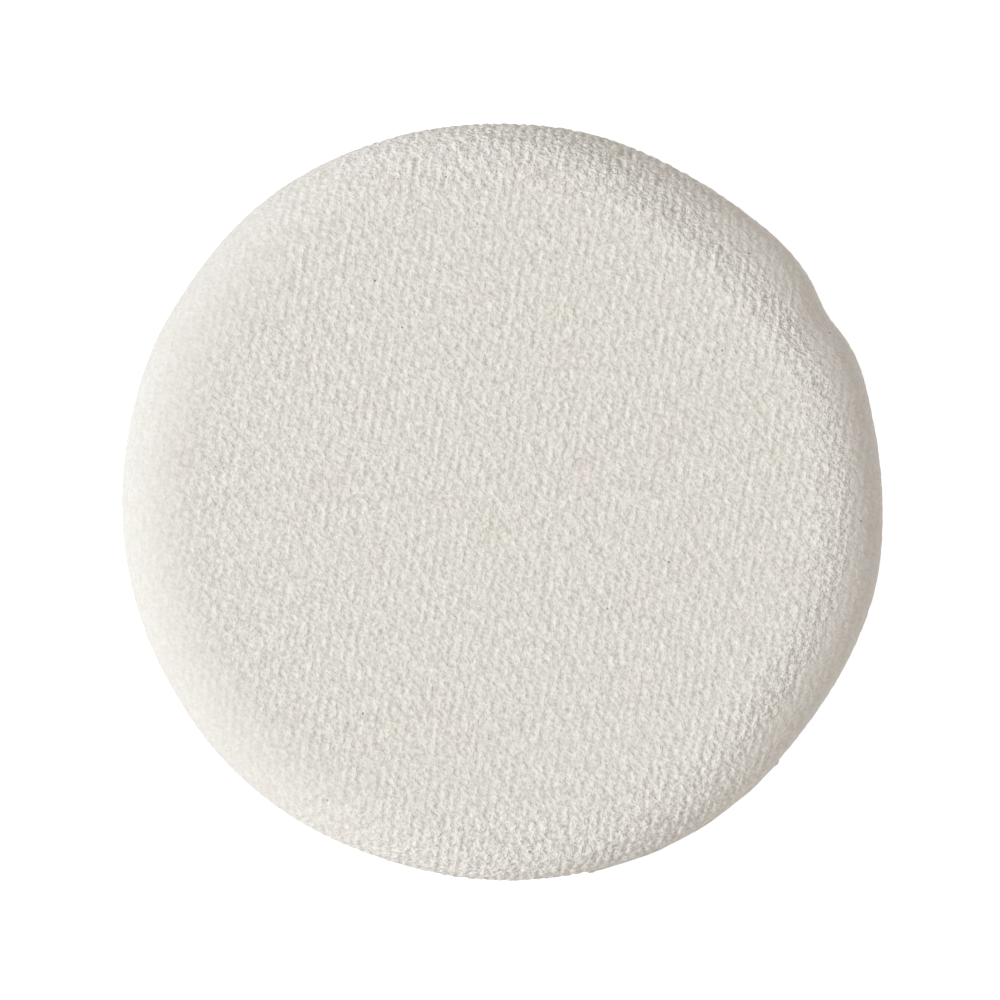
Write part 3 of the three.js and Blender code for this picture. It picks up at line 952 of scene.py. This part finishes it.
graph, size = geometry_tree("three-ply thread", thread)
curve = graph.add("GeometryNodeMeshToCurve", None, {"Mesh": size["Geometry"]})
length = graph.add("GeometryNodeSplineParameter", None, None, "Length")
tangent = graph.add("GeometryNodeInputTangent")
upright = graph.add("GeometryNodeInputNormal")
sideways = graph.vector("CROSS_PRODUCT", tangent, upright)
inputs = {"Resolution": 6, "Radius": size["Ply"] * 0.5}
round_ply = graph.add("GeometryNodeCurvePrimitiveCircle", None, inputs)
plies = graph.tree.nodes.new("GeometryNodeJoinGeometry")
for share in (0, 1 / 3, 2 / 3):
    angle = (length / size["Twist"] + share) * math.tau
    up = graph.vector("SCALE", upright, angle.math("COSINE") * size["Ply"] * ply_reach)
    out = graph.vector("SCALE", sideways, angle.math("SINE") * size["Ply"] * ply_reach)
    inputs = {"Geometry": curve, "Offset": graph.vector("ADD", up, out)}
    ply = graph.add("GeometryNodeSetPosition", None, inputs)
    inputs = {"Curve": ply, "Profile Curve": round_ply, "Fill Caps": True}
    ply = graph.add("GeometryNodeCurveToMesh", None, inputs)
    graph.tree.links.new(ply.socket, plies.inputs[0])
plies = Value(graph, plies.outputs[0])
three_ply = close_tree(graph, plies, polyester)


def thread_line(name, places, ring):
    """A thread's path as a mesh of edges, and its length."""
    count = len(places)
    ends = [(i, (i + 1) % count) for i in range(count if ring else count - 1)]
    mesh = bpy.data.meshes.new(name)
    mesh.from_pydata(places.tolist(), ends, [])
    return mesh, sum(np.linalg.norm(places[a] - places[b]) for a, b in ends)


stitches = round(math.tau * stitch_radius / stitch_length)
around = np.linspace(0, math.tau, stitches * round(stitch_length / thread_step), endpoint=False)
reach = stitch_radius + rim_bulge(around) * smooth_step(rim_radius - roll_width, rim_radius, stitch_radius)
pull = stitch_pull * (0.5 + 0.5 * np.cos(around * stitches)) ** stitch_sharpness
seam_threads = [
    ("needle_thread_plies", "needle_thread", 1),
    ("bobbin_thread_plies", "bobbin_thread", -1),
]
for name, node, toward in seam_threads:
    height = seam_height + toward * (stitch_height - pull)
    line, length = thread_line(name, np.c_[reach * np.cos(around), reach * np.sin(around), height], True)
    sizes = {**thread, "Twist": length / round(length / thread["Twist"])}
    piece = grown(name, line, three_ply, sizes)
    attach(piece, "root")
    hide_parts(node)


# The closing stitches: the gap through which the puff was turned and filled is sewn up by hand. A ladder
# stitch runs along one fold of the seam, crosses to the other, and so on, with each end drawn in.
closing_angle = math.radians(-90)
closing_length = 20 * mm
closing_stitch = 2.5 * mm
closing_depth = 0.1 * mm
thread_radius = 0.15 * mm
fold_reach = fold_radius + thread_radius
swing = fold_opening / 2 + fold_radius - math.sqrt(fold_reach**2 - (fold_radius - closing_depth) ** 2)
closing_radius = rim_radius - closing_depth
crossing_share = 0.2
end_lean = 0.6  # of the swing, at each end
end_depth = 1.2 * mm  # how far each end is drawn in
steps_between_knots = 8
count = round(closing_length / closing_stitch)
turns, heights, depths = [], [], []
for stitch in range(count):
    for share in (crossing_share, 0.5, 1 - crossing_share):
        turns.append((stitch + share - count / 2) * closing_stitch / closing_radius)
        heights.append(swing if stitch % 2 == 0 else -swing)
        depths.append(0)
turns = np.r_[turns[0], turns, turns[-1]] + closing_angle
heights = np.r_[end_lean * heights[0], heights, end_lean * heights[-1]]
depths = np.r_[end_depth, depths, end_depth]
reach = closing_radius + rim_bulge(turns) - depths
knots = np.c_[reach * np.cos(turns), reach * np.sin(turns), seam_height + heights]


def smooth_line(knots, steps):
    """A smooth line through the knots."""
    padded = np.vstack([2 * knots[0] - knots[1], knots, 2 * knots[-1] - knots[-2]])
    share = np.linspace(0, 1, steps, endpoint=False)[:, None]
    pieces = []
    for a, b, c, d in zip(padded[:-3], padded[1:-2], padded[2:-1], padded[3:]):
        curve = 2 * b + (c - a) * share + (2 * a - 5 * b + 4 * c - d) * share**2
        pieces.append((curve + (3 * b - 3 * c + d - a) * share**3) / 2)
    return np.vstack([*pieces, knots[-1]])


line, _ = thread_line("closing_stitches", smooth_line(knots, steps_between_knots), False)
closing_stitches = grown("closing_stitches", line, three_ply, thread)

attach(closing_stitches, "root")
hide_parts("closing_thread")
